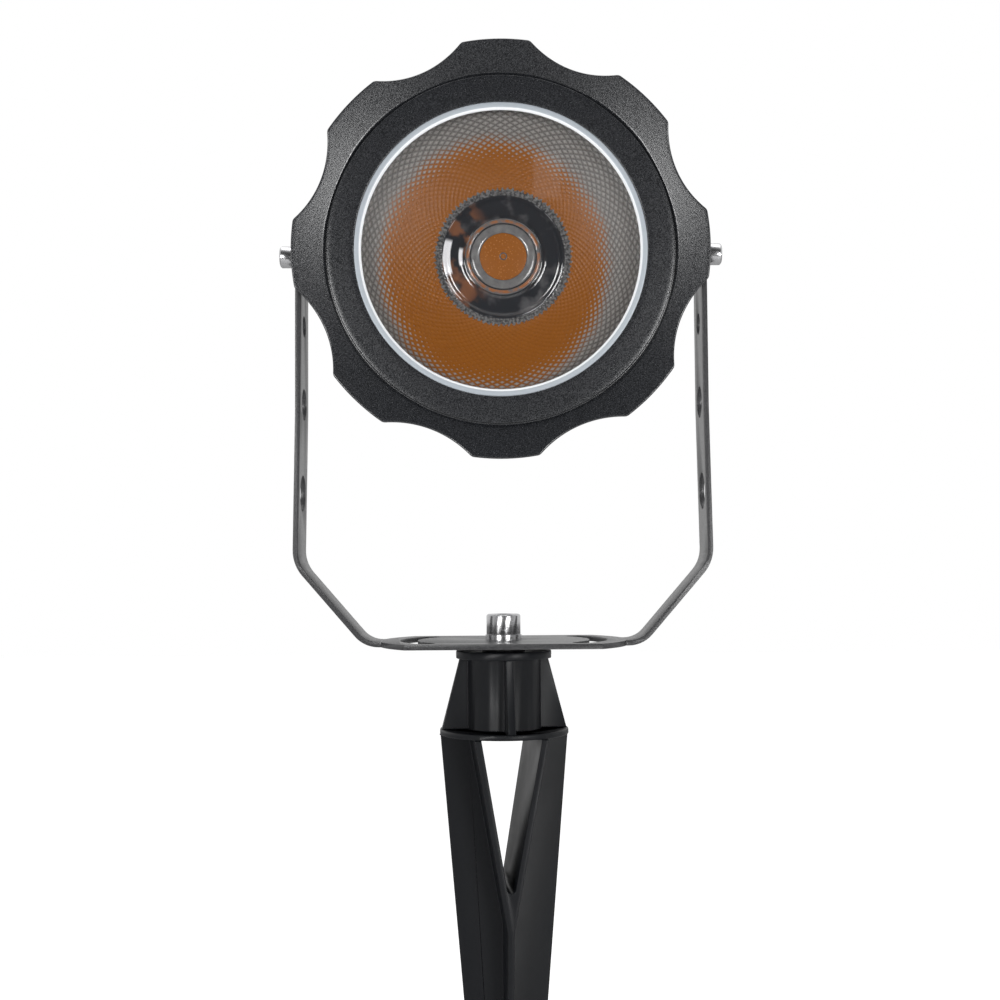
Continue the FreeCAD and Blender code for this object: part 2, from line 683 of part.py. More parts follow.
def lead_hole(start_y, end_y):
    """Round passage for both leads."""
    return rod(lead_hole_d, FreeCAD.Vector(0, start_y, lead_z), FreeCAD.Vector(0, end_y, lead_z))


def cob_screw_places():
    """Angles of the two screws that hold the light source."""
    return (cob_screw_angle, cob_screw_angle + 180)


def cob_holder():
    """White plastic holder that presses the light source down and carries the lens's foot."""
    start_y = lens_foot_y - overcut
    seat_y = lens_foot_y + cob_screw_head_h + end_gap
    funnel = revolve_y([(0, start_y), (holder_mouth_r, start_y), (holder_mouth_r, lens_foot_y),
                        (holder_hole_r, cob_front_y), (0, cob_front_y)])
    holder = rod(2 * holder_r, on_y(lens_foot_y), on_y(heat_face_y)).cut(funnel)
    holder = holder.cut(square_block(cob_side + 2 * pocket_gap, cob_front_y, heat_face_y + overcut))
    for angle in cob_screw_places():
        holder = holder.cut(rod(cob_screw_head_d + 2 * screw_gap, on_y(start_y, angle, cob_screw_pitch_r),
                                on_y(seat_y, angle, cob_screw_pitch_r)))
        holder = holder.cut(rod(cob_screw_d + 2 * screw_gap, on_y(lens_foot_y, angle, cob_screw_pitch_r),
                                on_y(heat_face_y + overcut, angle, cob_screw_pitch_r)))
    return holder


def cob_screws():
    """Two small screws through the holder into the housing."""
    seat_y = lens_foot_y + cob_screw_head_h + end_gap
    screws = [cap_screw(cob_screw_d, cob_screw_length, cob_screw_head_d, cob_screw_head_h,
                        cob_screw_socket_af, cob_screw_socket_depth,
                        on_y(seat_y, angle, cob_screw_pitch_r), -Y) for angle in cob_screw_places()]
    return Part.makeCompound(screws)


def cob_board():
    """Aluminium board of the light source."""
    return square_block(cob_side, cob_front_y, cob_front_y + cob_t)


def cob_phosphor():
    """Round emitting surface on the board."""
    return rod(2 * phosphor_r, on_y(cob_front_y - phosphor_t), on_y(cob_front_y))


def thermal_pad():
    """Heat conducting pad between the board and the housing, open where the leads pass."""
    pad = square_block(cob_side, heat_face_y - pad_t, heat_face_y)
    return pad.cut(lead_hole(heat_face_y - overcut, heat_face_y + overcut))


def led_lead(side):
    """One lead from the driver's board to the back of the light source's board."""
    x = side * lead_spacing / 2
    return rod(lead_d, FreeCAD.Vector(x, cob_front_y + cob_t, lead_z), FreeCAD.Vector(x, board_y, lead_z))


# ---- housing

def housing_outside():
    """Flange, drum, tapering bowl and round core."""
    drum_end_y = flange_rear_y + drum_depth
    return revolve_y([(0, bezel_skirt_y), (flange_r, bezel_skirt_y), (flange_r, flange_rear_y),
                      (drum_r, flange_rear_y), (drum_r, drum_end_y), (core_r, heat_face_y),
                      (core_r, core_end_y), (0, core_end_y)])


def fins():
    """Radial cooling fins from the flange to near the rear end."""
    fin_end_y = core_end_y - fin_setback
    root_r = core_r - fin_root
    outline = [(root_r, flange_rear_y), (fin_front_r, flange_rear_y), (fin_mid_r, fin_mid_y),
               (fin_rear_r, fin_end_y), (root_r, fin_end_y)]
    corners = [FreeCAD.Vector(radius, y, -fin_t / 2) for radius, y in outline]
    fin = Part.Face(Part.makePolygon(corners + corners[:1])).extrude(Z * fin_t)
    return ring_pattern(fin, fin_count)


def housing_inside():
    """Rebate for glass and gasket, seat for the lens's flange, bowl for the lens, and well for the source."""
    start_y = bezel_skirt_y - overcut
    return revolve_y([(0, start_y), (rebate_r, start_y), (rebate_r, rebate_floor_y),
                      (chamber_r, rebate_floor_y), (chamber_r, lens_seat_y), (shoulder_r, lens_seat_y),
                      (well_r, lens_foot_y + well_lead), (well_r, heat_face_y), (0, heat_face_y)])


def housing():
    """Cast body with fins, tilt bosses, optic bowl, heat wall and driver chamber."""
    body = housing_outside().multiFuse(fins())
    boss = rod(boss_d, X * (core_r - fin_root), X * boss_end)
    body = body.multiFuse([boss, mirrored_x(boss)])
    body = body.cut(housing_inside())
    bay = rod(2 * driver_bore_r, on_y(driver_floor_y), on_y(core_end_y + overcut))
    body = body.cut(bay).cut(lead_hole(heat_face_y - overcut, driver_floor_y + overcut))
    for side in (-1, 1):
        foot = FreeCAD.Vector(side * standoff_half, driver_floor_y, 0)
        post = rod(standoff_d, foot, foot + Y * standoff_h)
        tapped = rod(board_screw_d + 2 * thread_gap, foot + Y * (standoff_h - board_thread),
                     foot + Y * standoff_h)
        body = body.fuse(post).cut(tapped)
        tip = X * (side * boss_end)
        bottom = X * (side * (boss_end - pivot_thread - end_gap))
        body = body.cut(rod(pivot_d + 2 * thread_gap, bottom, tip))
    flange_hole = rod(bezel_screw_d + 2 * screw_gap, on_y(bezel_skirt_y, 0, bezel_screw_pitch_r),
                      on_y(flange_rear_y, 0, bezel_screw_pitch_r))
    cover_hole = rod(cover_screw_d + 2 * thread_gap,
                     on_y(core_end_y - cover_thread - end_gap, 0, cover_screw_pitch_r),
                     on_y(core_end_y, 0, cover_screw_pitch_r))
    cob_screw_end_y = lens_foot_y + cob_screw_head_h + end_gap + cob_screw_length
    cob_hole = rod(cob_screw_d + 2 * thread_gap, on_y(heat_face_y, 0, cob_screw_pitch_r),
                   on_y(cob_screw_end_y + end_gap, 0, cob_screw_pitch_r))
    cuts = ring_pattern(flange_hole, bezel_screw_count, 180 / bezel_screw_count)
    cuts += ring_pattern(cover_hole, cover_screw_count, 180 / cover_screw_count)
    cuts += ring_pattern(cob_hole, 2, cob_screw_angle)
    return body.cut(Part.makeCompound(cuts)).removeSplitter()


# ---- rear cover, driver and gland

def cover_screw_holes(start_y, end_y):
    """Clearance holes for the cover's screws."""
    hole = rod(cover_screw_d + 2 * screw_gap, on_y(start_y, 0, cover_screw_pitch_r),
               on_y(end_y, 0, cover_screw_pitch_r))
    return Part.makeCompound(ring_pattern(hole, cover_screw_count, 180 / cover_screw_count))


def rear_gasket():
    """Flat silicone ring under the rear cover."""
    ring = tube(2 * core_r, 2 * driver_bore_r, on_y(core_end_y), on_y(cover_y))
    return ring.cut(cover_screw_holes(core_end_y - overcut, cover_y + overcut))


def rear_cover():
    """Round cover with a tapped hole for the cable gland."""
    cover = rod(2 * core_r, on_y(cover_y), on_y(cover_rear_y))
    cover = cover.cut(rod(gland_thread_d + 2 * thread_gap, on_y(cover_y - overcut),
                          on_y(cover_rear_y + overcut)))
    return cover.cut(cover_screw_holes(cover_y - overcut, cover_rear_y + overcut))


def rear_cover_screws():
    """Four cap screws through cover and gasket."""
    length = cover_t + rear_gasket_t + cover_thread
    screw = cap_screw(cover_screw_d, length, cover_screw_head_d, cover_screw_head_h,
                      cover_screw_socket_af, cover_screw_socket_depth,
                      on_y(cover_rear_y, 0, cover_screw_pitch_r), Y)
    return Part.makeCompound(ring_pattern(screw, cover_screw_count, 180 / cover_screw_count))


def driver_board():
    """Circuit board of the driver, on two posts of the housing."""
    board = Part.makeBox(board_w, board_t, board_h, FreeCAD.Vector(-board_w / 2, board_y, -board_h / 2))
    for side in (-1, 1):
        hole = FreeCAD.Vector(side * standoff_half, board_y - overcut, 0)
        board = board.cut(rod(board_screw_d + 2 * screw_gap, hole, hole + Y * (board_t + 2 * overcut)))
    return board


def driver_capacitor():
    """Smoothing capacitor on the board."""
    start = FreeCAD.Vector(capacitor_x, board_y + board_t, 0)
    return rod(capacitor_d, start, start + Y * capacitor_h)


def driver_transformer():
    """Transformer on the board."""
    corner = FreeCAD.Vector(transformer_x - transformer_side / 2, board_y + board_t, -transformer_side / 2)
    return Part.makeBox(transformer_side, transformer_h, transformer_side, corner)


def driver_screws():
    """Two screws that hold the board on its posts."""
    screws = [cap_screw(board_screw_d, board_t + board_thread - end_gap, board_screw_head_d,
                        board_screw_head_h, board_screw_socket_af, board_screw_socket_depth,
                        FreeCAD.Vector(side * standoff_half, board_y + board_t, 0), Y)
              for side in (-1, 1)]
    return Part.makeCompound(screws)


def gland_washer():
    """Sealing washer under the gland."""
    return tube(gland_washer_d, gland_thread_d + 2 * thread_gap, on_y(cover_rear_y), on_y(gland_hex_y))


def gland_body():
    """Gland body: thread into the cover, hexagon, and a threaded neck with the seal's cup."""
    body = rod(gland_thread_d, on_y(cover_rear_y - gland_spigot), on_y(gland_hex_y))
    body = body.fuse(hexagon(gland_hex_af, on_y(gland_hex_y), on_y(gland_neck_y)))
    body = body.fuse(rod(gland_neck_d, on_y(gland_neck_y), on_y(gland_neck_y + gland_neck)))
    body = body.cut(rod(gland_bore_d, on_y(cover_rear_y - gland_spigot - overcut),
                        on_y(gland_neck_y + gland_neck)))
    return body.cut(rod(2 * gland_cup_r, on_y(seal_start_y), on_y(gland_neck_y + gland_neck)))


def gland_seal():
    """Rubber sleeve that grips the cable."""
    return tube(2 * gland_cup_r - 2 * thread_gap, seal_bore_d, on_y(seal_start_y), on_y(seal_end_y))


def gland_nut():
    """Dome nut that squeezes the seal: hexagonal grip, rounded nose, round mouth."""
    start_y = gland_neck_y + dome_start_gap
    tip_y = seal_end_y + dome_nose
    hex_end_y = start_y + dome_hex_t
    corner_r = gland_hex_af / 2 / math.cos(math.radians(30))
    solid = revolve_y([(0, start_y), (corner_r - dome_chamfer, start_y), (corner_r, start_y + dome_chamfer),
                       (corner_r, hex_end_y), (gland_hex_af / 2, hex_end_y + dome_shoulder),
                       (dome_tip_r, tip_y), (0, tip_y)])
    solid = solid.common(hexagon(gland_hex_af, on_y(start_y), on_y(tip_y), 30))
    neck_end_y = gland_neck_y + gland_neck + dome_inner_gap
    inside = revolve_y([(0, start_y - overcut), (gland_neck_d / 2 + thread_gap, start_y - overcut),
                        (gland_neck_d / 2 + thread_gap, neck_end_y), (gland_cup_r + thread_gap, neck_end_y),
                        (gland_cup_r + thread_gap, seal_end_y), (dome_mouth_r, seal_end_y + dome_mouth_step),
                        (dome_mouth_r, tip_y + overcut), (0, tip_y + overcut)])
    return solid.cut(inside)


def both_sides(shape):
    """A shape and its mirror image, as two solids of one group."""
    return Part.makeCompound([shape, mirrored_x(shape)])


def on_spike(shape):
    """A spike piece turned with the spike."""
    shape.rotate(FreeCAD.Vector(), Z, spike_yaw)
    return shape


def on_head(shape):
    """A head piece set to the tilt at rest and lifted to the tilt axis."""
    shape.rotate(FreeCAD.Vector(), X, rest_tilt)
    shape.translate(Z * pivot_z)
    return shape


def main():
    """Write each sub-part to its own file."""
    spike_parts = {"spike_body": spike_body(), "spike_nut": spike_nut(), "pan_bolt": pan_bolt(),
                   "pan_washer": pan_washer(), "pan_spring_washer": pan_spring_washer()}
    head_parts = {
        "housing": housing(), "bezel_ring": bezel_ring(), "bezel_screws": bezel_screws(),
        "front_glass": front_glass(), "glass_gasket": glass_gasket(), "lens_ring": lens_ring(),
        "tir_lens": tir_lens(), "cob_holder": cob_holder(), "cob_screws": cob_screws(),
        "cob_board": cob_board(), "cob_phosphor": cob_phosphor(), "thermal_pad": thermal_pad(),
        "led_lead_plus": led_lead(1), "led_lead_minus": led_lead(-1), "driver_board": driver_board(),
        "driver_capacitor": driver_capacitor(), "driver_transformer": driver_transformer(),
        "driver_screws": driver_screws(), "rear_gasket": rear_gasket(), "rear_cover": rear_cover(),
        "rear_cover_screws": rear_cover_screws(), "gland_washer": gland_washer(),
        "gland_body": gland_body(), "gland_seal": gland_seal(), "gland_nut": gland_nut(),
        "pivot_screws": both_sides(pivot_screw()), "pivot_flat_washers": both_sides(pivot_flat_washer()),
        "pivot_spring_washers": both_sides(pivot_spring_washer())}
    os.makedirs("parts", exist_ok=True)
    bracket_yoke().exportStep("parts/bracket_yoke.step")
    for name, shape in spike_parts.items():
        on_spike(shape).exportStep(f"parts/{name}.step")
    for name, shape in head_parts.items():
        on_head(shape).exportStep(f"parts/{name}.step")


main()
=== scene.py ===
# Garden spike spotlight: a lobed round head tilts in a U-shaped bracket, which turns on a forked spike.
import math
import bpy
import bmesh
import numpy as np
from mathutils import Matrix


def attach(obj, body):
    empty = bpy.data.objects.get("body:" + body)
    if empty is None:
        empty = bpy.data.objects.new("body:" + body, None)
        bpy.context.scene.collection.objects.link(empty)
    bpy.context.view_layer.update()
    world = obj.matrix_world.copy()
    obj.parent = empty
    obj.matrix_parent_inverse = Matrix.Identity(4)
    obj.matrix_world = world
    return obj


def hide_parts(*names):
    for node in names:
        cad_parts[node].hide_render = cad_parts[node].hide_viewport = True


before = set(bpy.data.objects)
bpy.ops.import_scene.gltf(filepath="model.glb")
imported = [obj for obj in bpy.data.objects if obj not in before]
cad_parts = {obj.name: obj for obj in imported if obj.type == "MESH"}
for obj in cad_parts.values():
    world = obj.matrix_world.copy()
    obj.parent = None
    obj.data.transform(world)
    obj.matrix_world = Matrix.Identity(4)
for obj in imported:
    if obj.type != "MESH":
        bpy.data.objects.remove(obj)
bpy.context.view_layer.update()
scene = bpy.context.scene
scene.view_settings.view_transform = "Standard"


# ---- Camera
# A standard lens half a metre in front of the head, a little below it and looking up by as
# much as the head looks down. It was held turned by less than half a degree.
lens_mm, sensor_mm = 48.24, 36.0
camera_place = (-0.0010, -0.526, 0.0654)
camera_pitch = math.radians(92.777)
camera_roll = math.radians(-0.42)
camera_data = bpy.data.cameras.new("camera")
camera_data.lens = lens_mm
camera_data.sensor_width = sensor_mm
camera = bpy.data.objects.new("camera", camera_data)
scene.collection.objects.link(camera)
camera.matrix_world = (Matrix.Translation(camera_place) @ Matrix.Rotation(camera_pitch, 4, "X")
                       @ Matrix.Rotation(camera_roll, 4, "Z"))
scene.camera = camera


# ---- Floor and light
# A pale tabletop in a white room, a tall softbox on each side of the camera and a large one
# overhead. The room is dim on the camera's side, which keeps faces that look at it dark.
class Signal:
    """A node's output. Arithmetic with other signals and numbers adds Math nodes."""

    def __init__(self, tree, socket):
        self.tree = tree
        self.socket = socket

    def math(self, operation, *values):
        node = self.tree.nodes.new("ShaderNodeMath")
        node.operation = operation
        for socket, value in zip(node.inputs, values):
            if isinstance(value, Signal):
                self.tree.links.new(value.socket, socket)
            else:
                socket.default_value = value
        return Signal(self.tree, node.outputs[0])

    def out(self, name):
        """Another output of the same node."""
        return Signal(self.tree, self.socket.node.outputs[name])

    def __add__(self, other):
        return self.math("ADD", self, other)

    def __sub__(self, other):
        return self.math("SUBTRACT", self, other)

    def __rsub__(self, other):
        return self.math("SUBTRACT", other, self)

    def __mul__(self, other):
        return self.math("MULTIPLY", self, other)

    def __truediv__(self, other):
        return self.math("DIVIDE", self, other)

    def __pow__(self, other):
        return self.math("POWER", self, other)

    def __mod__(self, other):
        return self.math("FLOORED_MODULO", self, other)

    def __abs__(self):
        return self.math("ABSOLUTE", self)

    __radd__ = __add__
    __rmul__ = __mul__


class Wiring:
    """The nodes of one material or world."""

    def __init__(self, owner):
        self.owner = owner
        owner.use_nodes = True
        self.tree = owner.node_tree
        self.tree.nodes.clear()

    def node(self, kind, settings=None, sockets=None):
        """Adds a node: first its settings, then values or signals for its sockets."""
        node = self.tree.nodes.new("ShaderNode" + kind)
        for name, value in (settings or {}).items():
            setattr(node, name, value)
        for name, value in (sockets or {}).items():
            socket = next(s for s in node.inputs if s.enabled and s.name == name)
            if isinstance(value, Signal):
                self.tree.links.new(value.socket, socket)
            elif socket.type == "RGBA":
                socket.default_value = (*value, 1.0)
            else:
                socket.default_value = value
        live = [s for s in node.outputs if s.enabled]
        return Signal(self.tree, live[0]) if live else node

    def grain(self, spacing_mm, detail=2.0):
        """Noise from 0 to 1 whose lumps are about this far apart."""
        place = self.node("TexCoord").out("Object")
        return self.node("TexNoise", None,
                         {"Vector": place, "Scale": 1000.0 / spacing_mm, "Detail": detail})

    def blend(self, factor, first, second):
        """Colour that goes from the first to the second with the factor."""
        return self.node("Mix", {"data_type": "RGBA"}, {"Factor": factor, "A": first, "B": second})

    def ease(self, value, low, high, start=0.0, end=1.0):
        """Smooth step of a value between two limits."""
        limits = {"From Min": low, "From Max": high, "To Min": start, "To Max": end}
        return self.node("MapRange", {"interpolation_type": "SMOOTHSTEP"}, {"Value": value, **limits})

    def bump(self, height, depth_mm, strength=1.0):
        """Surface normal of a height from 0 to 1 that stands for this depth."""
        return self.node("Bump", None,
                         {"Height": height, "Strength": strength, "Distance": depth_mm / 1000.0})

    def surface(self, sockets):
        """Ends the material in one principled shader."""
        shader = self.node("BsdfPrincipled", None, sockets)
        self.node("OutputMaterial", None, {"Surface": shader})
        return self.owner


def softbox(name, place, aim, width, height, watts):
    """Rectangular lamp that looks from its place towards its aim."""
    lamp_data = bpy.data.lights.new(name, "AREA")
    lamp_data.shape = "RECTANGLE"
    lamp_data.size = width
    lamp_data.size_y = height
    lamp_data.energy = watts
    lamp = bpy.data.objects.new(name, lamp_data)
    scene.collection.objects.link(lamp)
    way = Matrix.Translation(place).to_translation() - Matrix.Translation(aim).to_translation()
    lamp.matrix_world = Matrix.Translation(place) @ way.to_track_quat("Z", "Y").to_matrix().to_4x4()
    lamp.visible_camera = False


below_head = (0, 0, 0.15)
side_watts, top_watts, card_watts = 5.2, 5.5, 0.001
for side_name, side_x in (("softbox_left", -0.54), ("softbox_right", 0.54)):
    softbox(side_name, (side_x, -1.015, 0.088), below_head, 0.32, 0.36, side_watts)
softbox("softbox_top", (0, 0.1, 1.30), (0, 0, 0.1), 1.0, 0.9, top_watts)
softbox("card_above", (0.037, -0.53, 0.315), (0.0, 0.0, 0.19), 0.021, 0.034, card_watts)

camera_side_glow, far_side_glow, soft_glow = 0.06, 0.85, 0.34
room = Wiring(bpy.data.worlds.new("room"))
scene.world = room.owner
ray = room.node("LightPath")
glossy_ray = ray.out("Is Glossy Ray")
seen = ray.math("MAXIMUM", ray, ray.out("Is Transmission Ray"))
room_y = room.node("SeparateXYZ", None, {"Vector": room.node("TexCoord")}).out("Y")
mirrored = room.ease(room_y, -0.85, -0.05, camera_side_glow, far_side_glow)
lit = glossy_ray * mirrored + (1 - glossy_ray) * soft_glow
glow = seen + (1 - seen) * lit
background = room.node("Background", None, {"Color": (1.0, 1.0, 1.0), "Strength": glow})
room.node("OutputWorld", None, {"Surface": background})

floor_z = -0.2360
floor_front, floor_reach = -0.7, 4
floor_glow = 0.72
floor_mesh = bpy.data.meshes.new("tabletop")
floor_mesh.from_pydata([(-floor_reach, floor_front, floor_z), (floor_reach, floor_front, floor_z),
                        (floor_reach, floor_reach, floor_z), (-floor_reach, floor_reach, floor_z)],
                       [], [(0, 1, 2, 3)])
tabletop = bpy.data.objects.new("tabletop", floor_mesh)
scene.collection.objects.link(tabletop)
pale = Wiring(bpy.data.materials.new("pale_tabletop"))
camera_ray = pale.node("LightPath")
floor_mesh.materials.append(pale.surface({
    "Base Color": pale.blend(pale.grain(1.5), (0.83, 0.83, 0.83), (0.87, 0.87, 0.87)), "Roughness": 0.8,
    "Emission Color": (1.0, 1.0, 1.0), "Emission Strength": camera_ray * floor_glow}))


# ---- Spike body
# One moulding of black glass-filled plastic: forked blade, collar, gusseted barrel, upper flange.
# Its satin skin has faint flow marks, and its edges are rounded by the mould.
merge_m = 1e-6
flat_angle = math.radians(0.5)
sharp_angle = math.radians(32)


def finished_copy(node, piece_name, edge_mm, body, material):
    """Piece with a CAD node's faces, merged, and all sharp edges rounded by the same radius."""
    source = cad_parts[node]
    mesh = source.data.copy()
    mesh.name = piece_name
    shape = bmesh.new()
    shape.from_mesh(mesh)
    bmesh.ops.remove_doubles(shape, verts=shape.verts, dist=merge_m)
    bmesh.ops.dissolve_limit(shape, angle_limit=flat_angle, verts=shape.verts, edges=shape.edges)
    shape.to_mesh(mesh)
    shape.free()
    mesh.materials.clear()
    mesh.materials.append(material)
    mesh.polygons.foreach_set("material_index", np.zeros(len(mesh.polygons), dtype=np.int32))
    mesh.polygons.foreach_set("use_smooth", np.ones(len(mesh.polygons), dtype=bool))
    piece = bpy.data.objects.new(piece_name, mesh)
    scene.collection.objects.link(piece)
    rounding = piece.modifiers.new("mould_edges", "BEVEL")
    rounding.width = edge_mm / 1000.0
    rounding.segments = 2
    rounding.limit_method = "ANGLE"
    rounding.angle_limit = sharp_angle
    rounding.harden_normals = True
    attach(piece, body)
    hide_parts(node)


def moulded_plastic(name, tone, roughness, skin_mm=0.5):
    """Satin plastic: a slightly uneven tone and a fine leathery skin."""
    plastic = Wiring(bpy.data.materials.new(name))
    cloud = plastic.grain(22.0, 3.0)
    skin = plastic.grain(skin_mm, 2.0)
    light_tone = tuple(1.5 * part + 0.002 for part in tone)
    return plastic.surface({
        "Base Color": plastic.blend(0.6 * cloud + 0.4 * skin, tone, light_tone),
        "Roughness": plastic.ease(cloud, 0.3, 0.7, roughness - 0.05, roughness + 0.05),
        "Specular IOR Level": 0.22, "Normal": plastic.bump(skin, 0.015, 0.4)})


spike_plastic = moulded_plastic("spike_plastic", (0.0042, 0.0048, 0.0062), 0.41)
finished_copy("spike_body", "spike_moulding", 0.35, "spike", spike_plastic)


# ---- Pan bolt and its washers
# M8 socket head bolt of polished stainless steel with a spring washer; under the plate lies a
# black nylon washer. The nut sits out of sight in the spike's barrel.
def polished_steel(name, roughness, brush_mm=0.25):
    """Polished metal, a little cloudy, with fine polishing marks."""
    steel = Wiring(bpy.data.materials.new(name))
    marks = steel.grain(brush_mm, 3.0)
    cloud = steel.grain(3.0, 2.0)
    return steel.surface({
        "Base Color": steel.blend(cloud, (0.48, 0.48, 0.49), (0.62, 0.62, 0.63)), "Metallic": 1.0,
        "Roughness": steel.ease(marks, 0.35, 0.75, roughness, roughness + 0.12),
        "Normal": steel.bump(marks, 0.003, 0.3)})


def dress(node, material):
    """The CAD node keeps its shape and takes this finish in each of its material slots."""
    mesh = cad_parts[node].data
    if not mesh.materials:
        mesh.materials.append(material)
    for place in range(len(mesh.materials)):
        mesh.materials[place] = material


stainless = polished_steel("polished_stainless", 0.20)
nylon_black = moulded_plastic("nylon_black", (0.012, 0.012, 0.012), 0.5)
finished_copy("pan_bolt", "pan_bolt_polished", 0.35, "spike", stainless)
dress("pan_spring_washer", stainless)
dress("spike_nut", stainless)
dress("pan_washer", nylon_black)


# ---- Bracket
# Strip of 2 mm steel with a wide round foot, bent twice on each side, punched, then coated with
# a dark grey fine-textured powder.
powder_grain = 0.5


def powder_coat(name, tone, contrast, roughness, sparkle, depth_mm, mirror=0.5):
    """Grains lighter and darker than the coat's tone, a pebbled skin and bright flecks."""
    coat = Wiring(bpy.data.materials.new(name))
    grains = coat.grain(powder_grain, 3.0)
    fine = coat.grain(0.45 * powder_grain, 1.0)
    cloud = coat.grain(30.0, 2.0)
    spread = coat.ease(0.65 * grains + 0.35 * fine, 0.36, 0.64)
    dark = tuple(part * (1 - contrast) for part in tone)
    light = tuple(part * (1 + 1.6 * contrast) for part in tone)
    body_tone = coat.blend(spread * 0.85 + cloud * 0.15, dark, light)
    fleck = coat.ease(fine, 0.70, 0.76)
    return coat.surface({
        "Base Color": coat.blend(fleck * sparkle, body_tone, (0.55, 0.55, 0.56)),
        "Roughness": coat.ease(grains, 0.35, 0.65, roughness - 0.05, roughness + 0.05),
        "Specular IOR Level": mirror, "Normal": coat.bump(spread, depth_mm, 0.6)})


bracket_coat = powder_coat("bracket_powder_coat", (0.034, 0.034, 0.036), 0.35, 0.34, 0.06, 0.02)
finished_copy("bracket_yoke", "bracket_strip", 0.25, "bracket", bracket_coat)


# ---- Tilt screws and their washers
# M5 socket head screws of polished stainless steel, each with a spring washer and a flat washer,
# run through the arms into the head's bosses.
finished_copy("pivot_screws", "tilt_screws_polished", 0.25, "head", stainless)
dress("pivot_flat_washers", stainless)
dress("pivot_spring_washers", stainless)


# ---- Housing, rear cover and their screws
# Cast aluminium with 24 cooling fins, and a round cast cover behind on a rubber gasket, both
# in a coat like the bracket's. Cap screws hold the bezel from behind and the cover from the rear.
housing_coat = powder_coat("housing_powder_coat", (0.040, 0.040, 0.042), 0.28, 0.50, 0.05, 0.03)
dress("housing", housing_coat)
finished_copy("rear_cover", "rear_cover_cast", 0.5, "head", housing_coat)
rubber = moulded_plastic("black_rubber", (0.016, 0.016, 0.016), 0.7, 0.3)
dress("rear_gasket", rubber)
dress("bezel_screws", stainless)
dress("rear_cover_screws", stainless)


# ---- Cable gland
# Moulded body and dome nut of black nylon, screwed into the rear cover on a rubber washer. The
# rubber sleeve inside them is empty.
finished_copy("gland_body", "gland_body_moulded", 0.3, "head", nylon_black)
finished_copy("gland_nut", "gland_nut_moulded", 0.4, "head", nylon_black)
dress("gland_seal", rubber)
dress("gland_washer", rubber)


# ---- Bezel
# Cast aluminium ring with eight lobes joined by hollow arcs, a band that slopes in towards a fine
# groove, and a flat ring round the glass, in a coarse sandy coat with a fine sparkle.
rest_tilt = math.radians(2.777)
pivot_height = 187.8
lobe_count = 8
lobe_step = 2 * math.pi / lobe_count
lobe_radius = 80.9
valley_radius = 74.6
lobe_half_angle = math.radians(9.4)
lobe_clock = math.radians(1.0)
bezel_rear, edge_depth, band_depth, ring_depth = -13.2, -16.2, -12.8, -15.0
groove_inner, groove_outer, opening = 67.15, 68.05, 56.8
lip_depth, skirt_depth = -13.9, -9.6
rebate_radius, skirt_radius = 61.2, 74.0
lobe_softness = 0.7
opening_edge, groove_edge, outer_edge, rear_edge = 0.3, 0.35, 0.55, 0.2


def on_head(points):
    """Points of the head's own frame in mm, turned by the tilt at rest and lifted to its axis, in m."""
    x, y, z = points[..., 0], points[..., 1], points[..., 2]
    turned_y = y * math.cos(rest_tilt) - z * math.sin(rest_tilt)
    turned_z = y * math.sin(rest_tilt) + z * math.cos(rest_tilt)
    return np.stack([x, turned_y, turned_z + pivot_height], axis=-1) / 1000.0


def ring_of(radius, depth, turns):
    """Grid of head points: at each turn (radians) the radius and depth of the profile."""
    return np.stack([radius * np.cos(turns), depth + 0 * turns, radius * np.sin(turns)], axis=-1)


def closed_surface(name, points, material, body, replaced, pattern=None):
    """Closed mesh through a grid (profile x turns) that joins up both ways.

    The winding is turned round where the volume inside comes out negative. A pattern gives
    each profile point a number, kept with the turn fraction as the map named pattern."""
    rows, columns = points.shape[:2]
    row, column = np.meshgrid(np.arange(rows), np.arange(columns), indexing="ij")
    row_steps = np.stack([row, row, row + 1, row + 1], axis=-1).reshape(-1, 4)
    column_steps = np.stack([column, column + 1, column + 1, column], axis=-1).reshape(-1, 4)
    faces = (row_steps % rows) * columns + column_steps % columns
    places = points.reshape(-1, 3)
    first, second, third, fourth = (places[faces[:, i]] for i in range(4))
    inside = (np.einsum("ij,ij->i", first, np.cross(second, third))
              + np.einsum("ij,ij->i", first, np.cross(third, fourth))).sum()
    if inside < 0:
        faces, row_steps, column_steps = faces[:, ::-1], row_steps[:, ::-1], column_steps[:, ::-1]
    mesh = bpy.data.meshes.new(name)
    mesh.from_pydata(places.tolist(), [], faces.tolist())
    mesh.polygons.foreach_set("use_smooth", np.ones(len(faces), dtype=bool))
    if pattern is not None:
        chart = mesh.uv_layers.new(name="pattern")
        values = np.stack([column_steps / columns, pattern[row_steps % rows]], axis=-1)
        chart.data.foreach_set("uv", values.astype(np.float32).ravel())
    mesh.materials.append(material)
    piece = bpy.data.objects.new(name, mesh)
    scene.collection.objects.link(piece)
    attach(piece, body)
    if replaced:
        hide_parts(*replaced)


